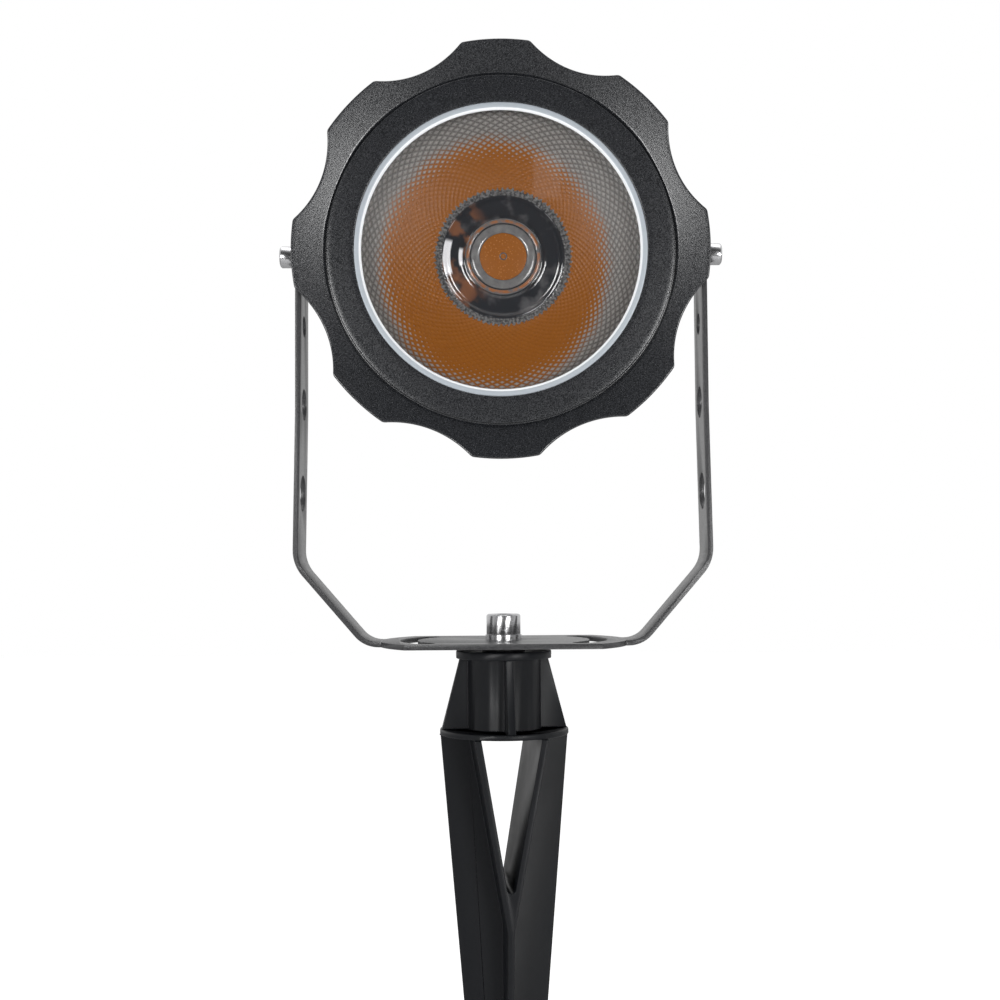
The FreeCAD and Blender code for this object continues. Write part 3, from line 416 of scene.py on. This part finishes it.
def lobed_radius(turns):
    """Smaller of the lobes' circle and the scallops' hollow arc, rounded where the two meet.

    A scallop is an arc through the valley and both lobe ends: its centre lies outside at D, and
    its near side is at D cos a - sqrt(rho^2 - D^2 sin^2 a) for an angle a from the valley."""
    from_valley = (turns - lobe_clock) % lobe_step - lobe_step / 2
    reach = lobe_step / 2 - lobe_half_angle
    centre = (lobe_radius ** 2 - valley_radius ** 2) / (2 * (lobe_radius * math.cos(reach) - valley_radius))
    rho = centre - valley_radius
    under_root = np.maximum(rho ** 2 - (centre * np.sin(from_valley)) ** 2, 1.0)
    scallop = centre * np.cos(from_valley) - np.sqrt(under_root)
    scallop = np.where(np.abs(from_valley) < 1.3 * reach, scallop, 2 * lobe_radius)
    share = np.clip(0.5 + 0.5 * (scallop - lobe_radius) / lobe_softness, 0, 1)
    return scallop * (1 - share) + lobe_radius * share - lobe_softness * share * (1 - share)


def bezel_turns():
    """Angles round the bezel, closer together at the lobes' corners."""
    corner = lobe_half_angle
    next_corner = lobe_step - corner
    near = math.radians(1.2)
    one_lobe = np.concatenate([np.linspace(-corner + near, corner - near, 14, endpoint=False),
                               np.linspace(corner - near, corner + near, 12, endpoint=False),
                               np.linspace(corner + near, next_corner - near, 26, endpoint=False),
                               np.linspace(next_corner - near, next_corner + near, 12, endpoint=False)])
    return (one_lobe[None, :] + lobe_step * np.arange(lobe_count)[:, None]).ravel() + lobe_clock


def arc_points(centre, radius, start, end, count):
    """Points of an arc in the profile plane, angles in degrees from the radius axis to the depth axis."""
    angles = np.radians(np.linspace(start, end, count))
    return np.stack([centre[0] + radius * np.cos(angles), centre[1] + radius * np.sin(angles)], axis=-1)


def bezel_points():
    """Grid of the bezel: a fixed inner profile, then rows that run out to the lobed edge.

    The band is a cone, depth = band_depth + slope * (radius - groove_outer), that rises outwards.
    An arc of radius outer_edge joins it to the side wall, which runs straight back."""
    turns = bezel_turns()
    edge = lobed_radius(turns)
    slope = (edge_depth - band_depth) / (lobe_radius - groove_outer)
    lean = -math.atan(slope)
    groove_floor = band_depth + 0.3
    opening_arc = (opening + opening_edge, ring_depth + opening_edge)
    groove_arc = (groove_inner - groove_edge, ring_depth + groove_edge)
    fixed = [(60.0, lip_depth), (58.4, lip_depth), (opening, lip_depth), (opening, lip_depth - 0.5)]
    fixed += arc_points(opening_arc, opening_edge, 180, 270, 5).tolist()
    fixed += [(59.0, ring_depth), (61.0, ring_depth), (63.0, ring_depth), (65.2, ring_depth)]
    fixed += arc_points(groove_arc, groove_edge, 270, 360, 6).tolist()
    fixed += [(groove_inner, band_depth - 0.4), (groove_inner, groove_floor), (groove_outer, groove_floor)]
    rows = [ring_of(radius, depth, turns) for radius, depth in fixed]
    band_end = edge - outer_edge * (1 + math.sin(lean))
    for share in np.linspace(0.0, 1.0, 12):
        radius = groove_outer + (band_end - groove_outer) * share
        rows.append(ring_of(radius, band_depth + slope * (radius - groove_outer), turns))
    crest = band_depth + slope * (band_end - groove_outer) - outer_edge * (1 - math.cos(lean))
    for angle in np.linspace(0.1 - lean, math.pi / 2, 9):
        inset = outer_edge * (1 - math.sin(angle))
        rows.append(ring_of(edge - inset, crest + outer_edge * (1 - math.cos(angle)), turns))
    wall_start = crest + outer_edge
    wall_end = bezel_rear - rear_edge
    for share in (0.4, 0.8, 1.0):
        rows.append(ring_of(edge, wall_start + (wall_end - wall_start) * share, turns))
    rows.append(ring_of(edge - rear_edge, bezel_rear, turns))
    for radius, depth in ((skirt_radius + 0.05, bezel_rear), (skirt_radius - 0.05, bezel_rear + 0.1),
                          (skirt_radius - 0.05, skirt_depth - 0.2), (skirt_radius - 0.25, skirt_depth),
                          (67.0, skirt_depth), (rebate_radius + 0.05, skirt_depth),
                          (rebate_radius, skirt_depth - 0.05), (rebate_radius, lip_depth + 0.05)):
        rows.append(ring_of(radius, depth, turns))
    return on_head(np.stack(rows))


bezel_coat = powder_coat("bezel_powder_coat", (0.011, 0.012, 0.0145), 0.48, 0.245, 0.30, 0.010, 0.97)
closed_surface("bezel_cast", bezel_points(), bezel_coat, "head", ["bezel_ring"])


# ---- Front glass
# Clear toughened disc held behind the bezel's lip, on a black rubber gasket. Only its gloss
# shows, so it is a mirror that is as opaque as glass reflects.
dress("glass_gasket", rubber)
clear = Wiring(bpy.data.materials.new("clear_glass"))
glass_dust = clear.grain(6.0, 4.0)
glass_mirror = clear.node("Fresnel", None, {"IOR": 1.5})
dress("front_glass", clear.surface({
    "Base Color": clear.blend(glass_dust, (0.93, 0.97, 0.96), (1.0, 1.0, 1.0)), "Metallic": 1.0,
    "Roughness": clear.ease(glass_dust, 0.3, 0.8, 0.02, 0.06), "Alpha": glass_mirror * 0.9}))


# ---- Bright ring
# Turned aluminium ring that fills the bezel's opening in front of the glass: satin face, and an
# inner bevel with a painted highlight.
ring_profile = [(54.05, -13.0), (54.0, -13.1), (54.0, -13.75), (54.1, -13.9), (54.75, -14.5), (54.95, -14.6),
                (55.5, -14.62), (56.2, -14.62), (56.6, -14.6), (56.75, -14.5), (56.75, -13.9), (57.0, -13.85),
                (60.7, -13.85), (60.85, -13.7), (60.85, -13.0), (60.7, -12.95), (54.3, -12.95)]
bevel_inner, bevel_outer = 54.6, 55.0
# The near-white tone is a painted highlight on the inner bevel.
satin_dark, satin_light, painted_bevel_highlight = (0.37, 0.41, 0.45), (0.46, 0.50, 0.54), (0.96, 0.98, 1.0)


def turned_points(profile, count=240, aside=0.0):
    """Profile of (radius, depth) points turned once round an axis that lies aside of the head's."""
    turns = np.linspace(0, 2 * math.pi, count, endpoint=False)
    points = np.stack([ring_of(radius, depth, turns) for radius, depth in profile])
    return on_head(points + np.array([aside, 0.0, 0.0]))


def turned_pattern(wiring):
    """Turn from 0 to 1 and radius in mm of a surface that has the map named pattern."""
    place = wiring.node("SeparateXYZ", None, {"Vector": wiring.node("UVMap", {"uv_map": "pattern"})})
    return place, place.out("Y") * 100.0


satin = Wiring(bpy.data.materials.new("satin_aluminium"))
satin_grain = satin.grain(0.4, 2.0)
satin_cloud = satin.grain(18.0, 2.0)
satin_radius = turned_pattern(satin)[1]
satin_face = satin.blend(0.5 * satin_grain + 0.5 * satin_cloud, satin_dark, satin_light)
# Painted highlight: near white between the bevel's two radii.
on_painted_bevel_highlight = satin.ease(satin_radius, bevel_outer, bevel_inner)
satin_aluminium = satin.surface({
    "Base Color": satin.blend(on_painted_bevel_highlight, satin_face, painted_bevel_highlight),
    "Metallic": 0.1, "Roughness": satin.ease(satin_grain, 0.3, 0.7, 0.34, 0.44),
    "Normal": satin.bump(satin_grain, 0.01, 0.4)})
closed_surface("bright_ring_turned", turned_points(ring_profile), satin_aluminium, "head",
               ["lens_ring"], np.array(ring_profile)[:, 0] / 100.0)


# ---- Lens
# Large clear plastic lens over the light source. What it refracts and reflects is painted as colour:
# a wall of diamond facets, each with painted shading, with a painted reflection of the source in orange
# near the middle and of the room in grey near the rim, round a fringe of fine teeth and a dark glossy
# ring with painted grey swirls and, at its left, a painted brown smear and highlights partly from its
# humps' gloss and partly painted.
core_aside = 1.0
facet_count, tooth_count = 84, 84
facet_row, facet_relief, tooth_relief = 2.0, 0.24, 0.15
facet_start, facet_end = 27.5, 55.9
dark_start, dark_end = 15.2, 24.7
lens_back = np.array([(facet_end, -7.0), (54.0, -6.3), (facet_start, 6.5), (dark_start, 6.5)])
# Tones of the painted orange reflection of the source on the facet wall.
orange_dark, orange_light = (0.20, 0.058, 0.002), (0.36, 0.115, 0.006)
# Tones of the painted grey reflection of the room on the facets: lit at their middles, shaded at their edges.
facet_painted_light, facet_painted_dark = (0.36, 0.345, 0.33), (0.098, 0.092, 0.087)
tooth_dark, tooth_light = (0.030, 0.031, 0.034), (0.17, 0.17, 0.17)
# The dark ring's own near black, then the grey and brown of its painted reflections.
ring_dark, ring_light, painted_smear_brown = (0.024, 0.026, 0.031), (0.10, 0.10, 0.105), (0.20, 0.085, 0.045)
# Near-white tone of the painted highlights on the dark ring.
painted_glint_tone = (0.95, 0.96, 1.0)
# Centre of the painted orange reflection of the source, aside of the lens's middle.
painted_reflection_aside, painted_reflection_height = -0.0025, 0.1836
# Radii of the painted highlights and of the painted bright line round the dark ring's rim.
painted_tall_glint_radius, painted_small_glint_radius, painted_rim_line_radius = 22.6, 17.0, 24.2


def facet_height(radius, turns):
    """Pyramids from 0 to 1 between two families of crossing spirals: one tent shape across
    each family, turn + radius and turn - radius, multiplied."""
    turned = turns * facet_count / (2 * math.pi)
    outwards = (radius - facet_start) / facet_row
    rising = (turned + outwards) % 1 - 0.5
    falling = (turned - outwards) % 1 - 0.5
    return (1 - 2 * np.abs(rising)) * (1 - 2 * np.abs(falling))


def lens_profile():
    """Radii and depths of the lens's face from the middle outwards.

    The slope of the dark ring is 0.06 plus two bell curves, 0.36 high at radius 16.2 and 0.40 high
    at 23; the wall comes forward by 10.1 mm with the way out to the power 1.35."""
    dark = np.linspace(dark_start, dark_end, 34)
    inner_bell = 0.36 * np.exp(-((dark - 16.2) / 0.9) ** 2)
    outer_bell = 0.40 * np.exp(-((dark - 23.0) / 0.8) ** 2)
    slope = 0.06 + inner_bell + outer_bell
    dark_depth = np.concatenate([[0], np.cumsum(np.diff(dark) * 0.5 * (slope[1:] + slope[:-1]))])
    dark_depth = dark_depth - dark_depth[-1] + 2.6
    fringe = np.linspace(dark_end + 0.1, facet_start - 0.1, 9)
    fringe_depth = np.full(len(fringe), 2.7)
    wall = np.linspace(facet_start, facet_end, 118)
    wall_depth = 2.5 - 10.1 * ((wall - facet_start) / (facet_end - facet_start)) ** 1.35
    return np.concatenate([dark, fringe, wall]), np.concatenate([dark_depth, fringe_depth, wall_depth])


def lens_points(radii, depths, count=588):
    """Grid of the lens: its face with facets and teeth, then four rows of a plain back. The
    middle lies aside, by a shift that fades evenly to nothing at the rim."""
    turns = np.linspace(0, 2 * math.pi, count, endpoint=False)
    grid_radius, grid_turn = np.meshgrid(radii, turns, indexing="ij")
    depth = np.repeat(depths[:, None], count, axis=1)
    facets = np.where(grid_radius >= facet_start, facet_height(grid_radius, grid_turn), 0)
    tooth = np.abs((grid_turn * tooth_count / (2 * math.pi)) % 1 - 0.5) * 2
    teeth = np.where((grid_radius > dark_end) & (grid_radius < facet_start), tooth, 0)
    face = ring_of(grid_radius, depth - facet_relief * facets - tooth_relief * teeth, grid_turn)
    back_radius, back_turn = np.meshgrid(lens_back[:, 0], turns, indexing="ij")
    back_depth = np.repeat(lens_back[:, 1:], count, axis=1)
    points = np.concatenate([face, ring_of(back_radius, back_depth, back_turn)])
    radius = np.concatenate([grid_radius, back_radius])
    points[..., 0] += core_aside * np.clip((facet_end - radius) / (facet_end - facet_start), 0, 1)
    return on_head(points)


lens = Wiring(bpy.data.materials.new("faceted_lens"))
turn, radius_mm = turned_pattern(lens)
spot = lens.node("SeparateXYZ", None, {"Vector": lens.node("TexCoord").out("Object")})
side = (spot - painted_reflection_aside) * 1100.0
rise = (spot.out("Z") - painted_reflection_height) * 1000.0
painted_reflection_radius = (side * side + rise * rise) ** 0.5
facet_line = (radius_mm - facet_start) / facet_row
facet_rising = abs((turn * float(facet_count) + facet_line) % 1.0 - 0.5)
facet_falling = abs((turn * float(facet_count) - facet_line) % 1.0 - 0.5)
facet_way = facet_rising.math("MAXIMUM", facet_rising, facet_falling) * 2.0
lens_speck = lens.grain(0.35, 2.0)
lens_cloud = lens.grain(9.0, 2.0)
# Painted reflections: the source's orange inwards, the room's grey outwards, mixed facet by facet.
outward = lens.ease(painted_reflection_radius + (lens_speck - 0.5) * 7.0 + (lens_cloud - 0.5) * 5.0, 39.0, 59.0)
grey_share = lens.ease(outward * 1.7 - facet_way, -0.20, 0.35)
# Painted shading of each facet: light at its middle, dark towards its edges.
painted_facet_shade = lens.ease(facet_way + (lens_speck - 0.5) * 0.8, 0.10, 1.10)
orange = lens.blend(lens_speck, orange_dark, orange_light)
grey = lens.blend(painted_facet_shade * 0.8 + lens_speck * 0.3, facet_painted_light, facet_painted_dark)
wall_tone = lens.blend(grey_share, orange, grey)
tooth_mark = abs((turn * float(tooth_count)) % 1.0 - 0.5) * 2.0
fringe_speck = lens.ease(lens.grain(0.9, 2.0), 0.40, 0.62)
fringe_tone = lens.blend(0.75 * fringe_speck + 0.25 * tooth_mark, tooth_dark, tooth_light)
from_left = abs(turn - 0.5)
# Painted reflections on the dark ring: grey swirls all round and a brown smear at its left.
painted_swirl = lens.ease(lens.grain(11.0, 3.0), 0.48, 0.66)
painted_smear = lens.ease(lens.grain(8.0, 3.0), 0.46, 0.62) * lens.ease(from_left, 0.20, 0.12)
painted_swirled_tone = lens.blend(painted_swirl, ring_dark, ring_light)
painted_smeared_tone = lens.blend(painted_smear, painted_swirled_tone, painted_smear_brown)
# Painted highlights: two near-white streaks at the ring's left, and a thin bright line round its rim.
painted_tall_glint = lens.ease(from_left, 0.055, 0.040) * lens.ease(abs(radius_mm - painted_tall_glint_radius), 1.7, 1.2)
painted_small_glint = lens.ease(from_left, 0.038, 0.022) * lens.ease(abs(radius_mm - painted_small_glint_radius), 1.0, 0.5)
painted_rim_line = lens.ease(abs(radius_mm - painted_rim_line_radius), 0.18, 0.05) * painted_swirl * 0.6
dark_tone = lens.blend(painted_tall_glint + painted_small_glint + painted_rim_line, painted_smeared_tone, painted_glint_tone)
fringe_on = lens.ease(radius_mm, 24.3, 24.8)
wall_on = lens.ease(radius_mm - tooth_mark - 0.5 * fringe_speck, 26.3, 26.5)
inner_tone = lens.blend(fringe_on, dark_tone, fringe_tone)
faceted_lens = lens.surface({
    "Base Color": lens.blend(wall_on, inner_tone, wall_tone),
    "Roughness": lens.ease(radius_mm, 24.4, 25.0, 0.10, 0.35), "Specular IOR Level": 0.3,
    "Coat Weight": lens.ease(radius_mm, 26.0, 24.4), "Coat Roughness": 0.06})
face_radii, face_depths = lens_profile()
lens_pattern = np.concatenate([face_radii, lens_back[:, 0]]) / 100.0
closed_surface("lens_faceted", lens_points(face_radii, face_depths), faceted_lens, "head",
               ["tir_lens"], lens_pattern)


# ---- Beads round the middle of the lens
# The mouth of the lens's cavity: a broad round bead of clear plastic in grey, then a narrow one with a
# painted reflection of the source's orange on both sides of it, and painted shade in the crease between them.
beads_inner, beads_outer = 9.35, 15.15
broad_bead, broad_half = 11.1, 1.75
narrow_bead, narrow_half = 14.0, 0.75


def bead_profile():
    """Radii and depths of an annulus with a broad and a narrow bead, each an arch of
    sqrt(1 - t^2) across its width, and a flat back."""
    radii = np.linspace(beads_inner, beads_outer, 60)
    broad = np.sqrt(np.clip(1 - ((radii - broad_bead) / broad_half) ** 2, 0, 1))
    narrow = np.sqrt(np.clip(1 - ((radii - narrow_bead) / narrow_half) ** 2, 0, 1))
    front = np.stack([radii, 1.5 - 0.60 * broad - 0.40 * narrow], axis=-1)
    return np.concatenate([front, [[beads_outer, 2.3], [beads_inner, 2.3]]])


beads = Wiring(bpy.data.materials.new("clear_beads"))
bead_radius = turned_pattern(beads)[1]
bead_cloud = beads.grain(3.0, 3.0)
bead_grey = beads.blend(bead_cloud, (0.085, 0.085, 0.088), (0.26, 0.26, 0.26))
# Painted shade: near black in the crease between the two beads.
bead_painted_crease_shade = beads.ease(abs(bead_radius - 13.1), 0.45, 0.15)
# Painted reflection of the source's orange on the narrow bead, in patches.
bead_painted_orange = beads.ease(abs(bead_radius - 14.1), 0.75, 0.45) * beads.ease(bead_cloud, 0.30, 0.60)
bead_tone = beads.blend(bead_painted_orange, bead_grey, (0.34, 0.13, 0.05))
clear_beads = beads.surface({
    "Base Color": beads.blend(bead_painted_crease_shade, bead_tone, (0.03, 0.03, 0.033)),
    "Roughness": beads.ease(bead_cloud, 0.3, 0.7, 0.08, 0.16), "Specular IOR Level": 0.9})
closed_surface("lens_beads", turned_points(bead_profile(), aside=core_aside), clear_beads,
               "head", [], bead_profile()[:, 0] / 100.0)


# ---- Middle of the lens
# Flat-topped dome of the cavity's floor. The orange source fills it, with fine dots over it and
# a small grey mark where the moulding was fed.
core_rim, core_pole = 9.3, 0.02
dot_spacing = 1.1


def core_profile():
    """Radii and depths of the middle: a parabola 0.55 mm high with a bell-shaped ring 0.15 mm
    high round the feed mark, and a flat back."""
    radii = np.concatenate([np.linspace(core_pole, 1.0, 6), np.linspace(1.1, 1.7, 5),
                            np.linspace(2.0, 9.2, 16), [core_rim]])
    dome = 0.55 * (1 - (radii / core_rim) ** 2)
    mark = 0.15 * np.exp(-((radii - 1.35) / 0.2) ** 2)
    front = np.stack([radii, 1.35 - dome - mark], axis=-1)
    return np.concatenate([front, [[core_rim, 2.2], [core_pole, 2.2]]])


def source_dots(wiring):
    """Distance from the nearest dot of the source, eased from 0 on a dot to 1 between dots."""
    place = wiring.node("TexCoord").out("Object")
    dots = wiring.node("TexVoronoi", None, {"Vector": place, "Scale": 1000.0 / dot_spacing})
    return wiring.ease(dots, 0.12, 0.34)


core = Wiring(bpy.data.materials.new("orange_core"))
core_speck = core.grain(0.3, 2.0)
core_mark = core.ease(abs(turned_pattern(core)[1] - 1.3), 0.35, 0.15)
core_orange = core.blend(source_dots(core) * 0.7 + core_speck * 0.3,
                         (0.50, 0.20, 0.055), (0.27, 0.085, 0.012))
orange_core = core.surface({
    "Base Color": core.blend(core_mark, core_orange, (0.10, 0.09, 0.085)),
    "Roughness": core.ease(core_speck, 0.3, 0.7, 0.16, 0.28), "Specular IOR Level": 0.3,
    "Normal": core.bump(core_speck, 0.02, 0.4)})
closed_surface("lens_core", turned_points(core_profile(), 120, core_aside), orange_core,
               "head", [], core_profile()[:, 0] / 100.0)


# ---- Light source
# Orange phosphor cast in silicone on a bright board. A white plastic holder screws it down on
# a grey-blue pad that leads its heat to the housing, and two insulated leads feed it.
phosphor = Wiring(bpy.data.materials.new("orange_phosphor"))
phosphor_speck = phosphor.grain(0.3, 2.0)
dress("cob_phosphor", phosphor.surface({
    "Base Color": phosphor.blend(source_dots(phosphor) * 0.8 + phosphor_speck * 0.2,
                                 (0.86, 0.42, 0.14), (0.62, 0.215, 0.035)),
    "Roughness": 0.35, "Normal": phosphor.bump(phosphor_speck, 0.03, 0.4)}))
dress("cob_holder", moulded_plastic("white_plastic", (0.52, 0.52, 0.50), 0.4))
dress("cob_screws", stainless)
dress("cob_board", polished_steel("bright_board", 0.35, 0.15))
dress("thermal_pad", moulded_plastic("blue_grey_pad", (0.26, 0.30, 0.38), 0.75, 0.4))
dress("led_lead_plus", moulded_plastic("red_lead", (0.40, 0.02, 0.02), 0.45, 0.4))
dress("led_lead_minus", moulded_plastic("black_lead", (0.014, 0.014, 0.014), 0.45, 0.4))


# ---- Driver
# Green circuit board on two posts in the rear chamber, with a sleeved capacitor and a taped
# transformer.
dress("driver_board", moulded_plastic("green_board", (0.02, 0.13, 0.045), 0.35, 0.8))
dress("driver_capacitor", moulded_plastic("black_sleeve", (0.012, 0.012, 0.016), 0.25, 0.8))
dress("driver_transformer", moulded_plastic("yellow_tape", (0.52, 0.38, 0.03), 0.3, 1.2))
dress("driver_screws", stainless)
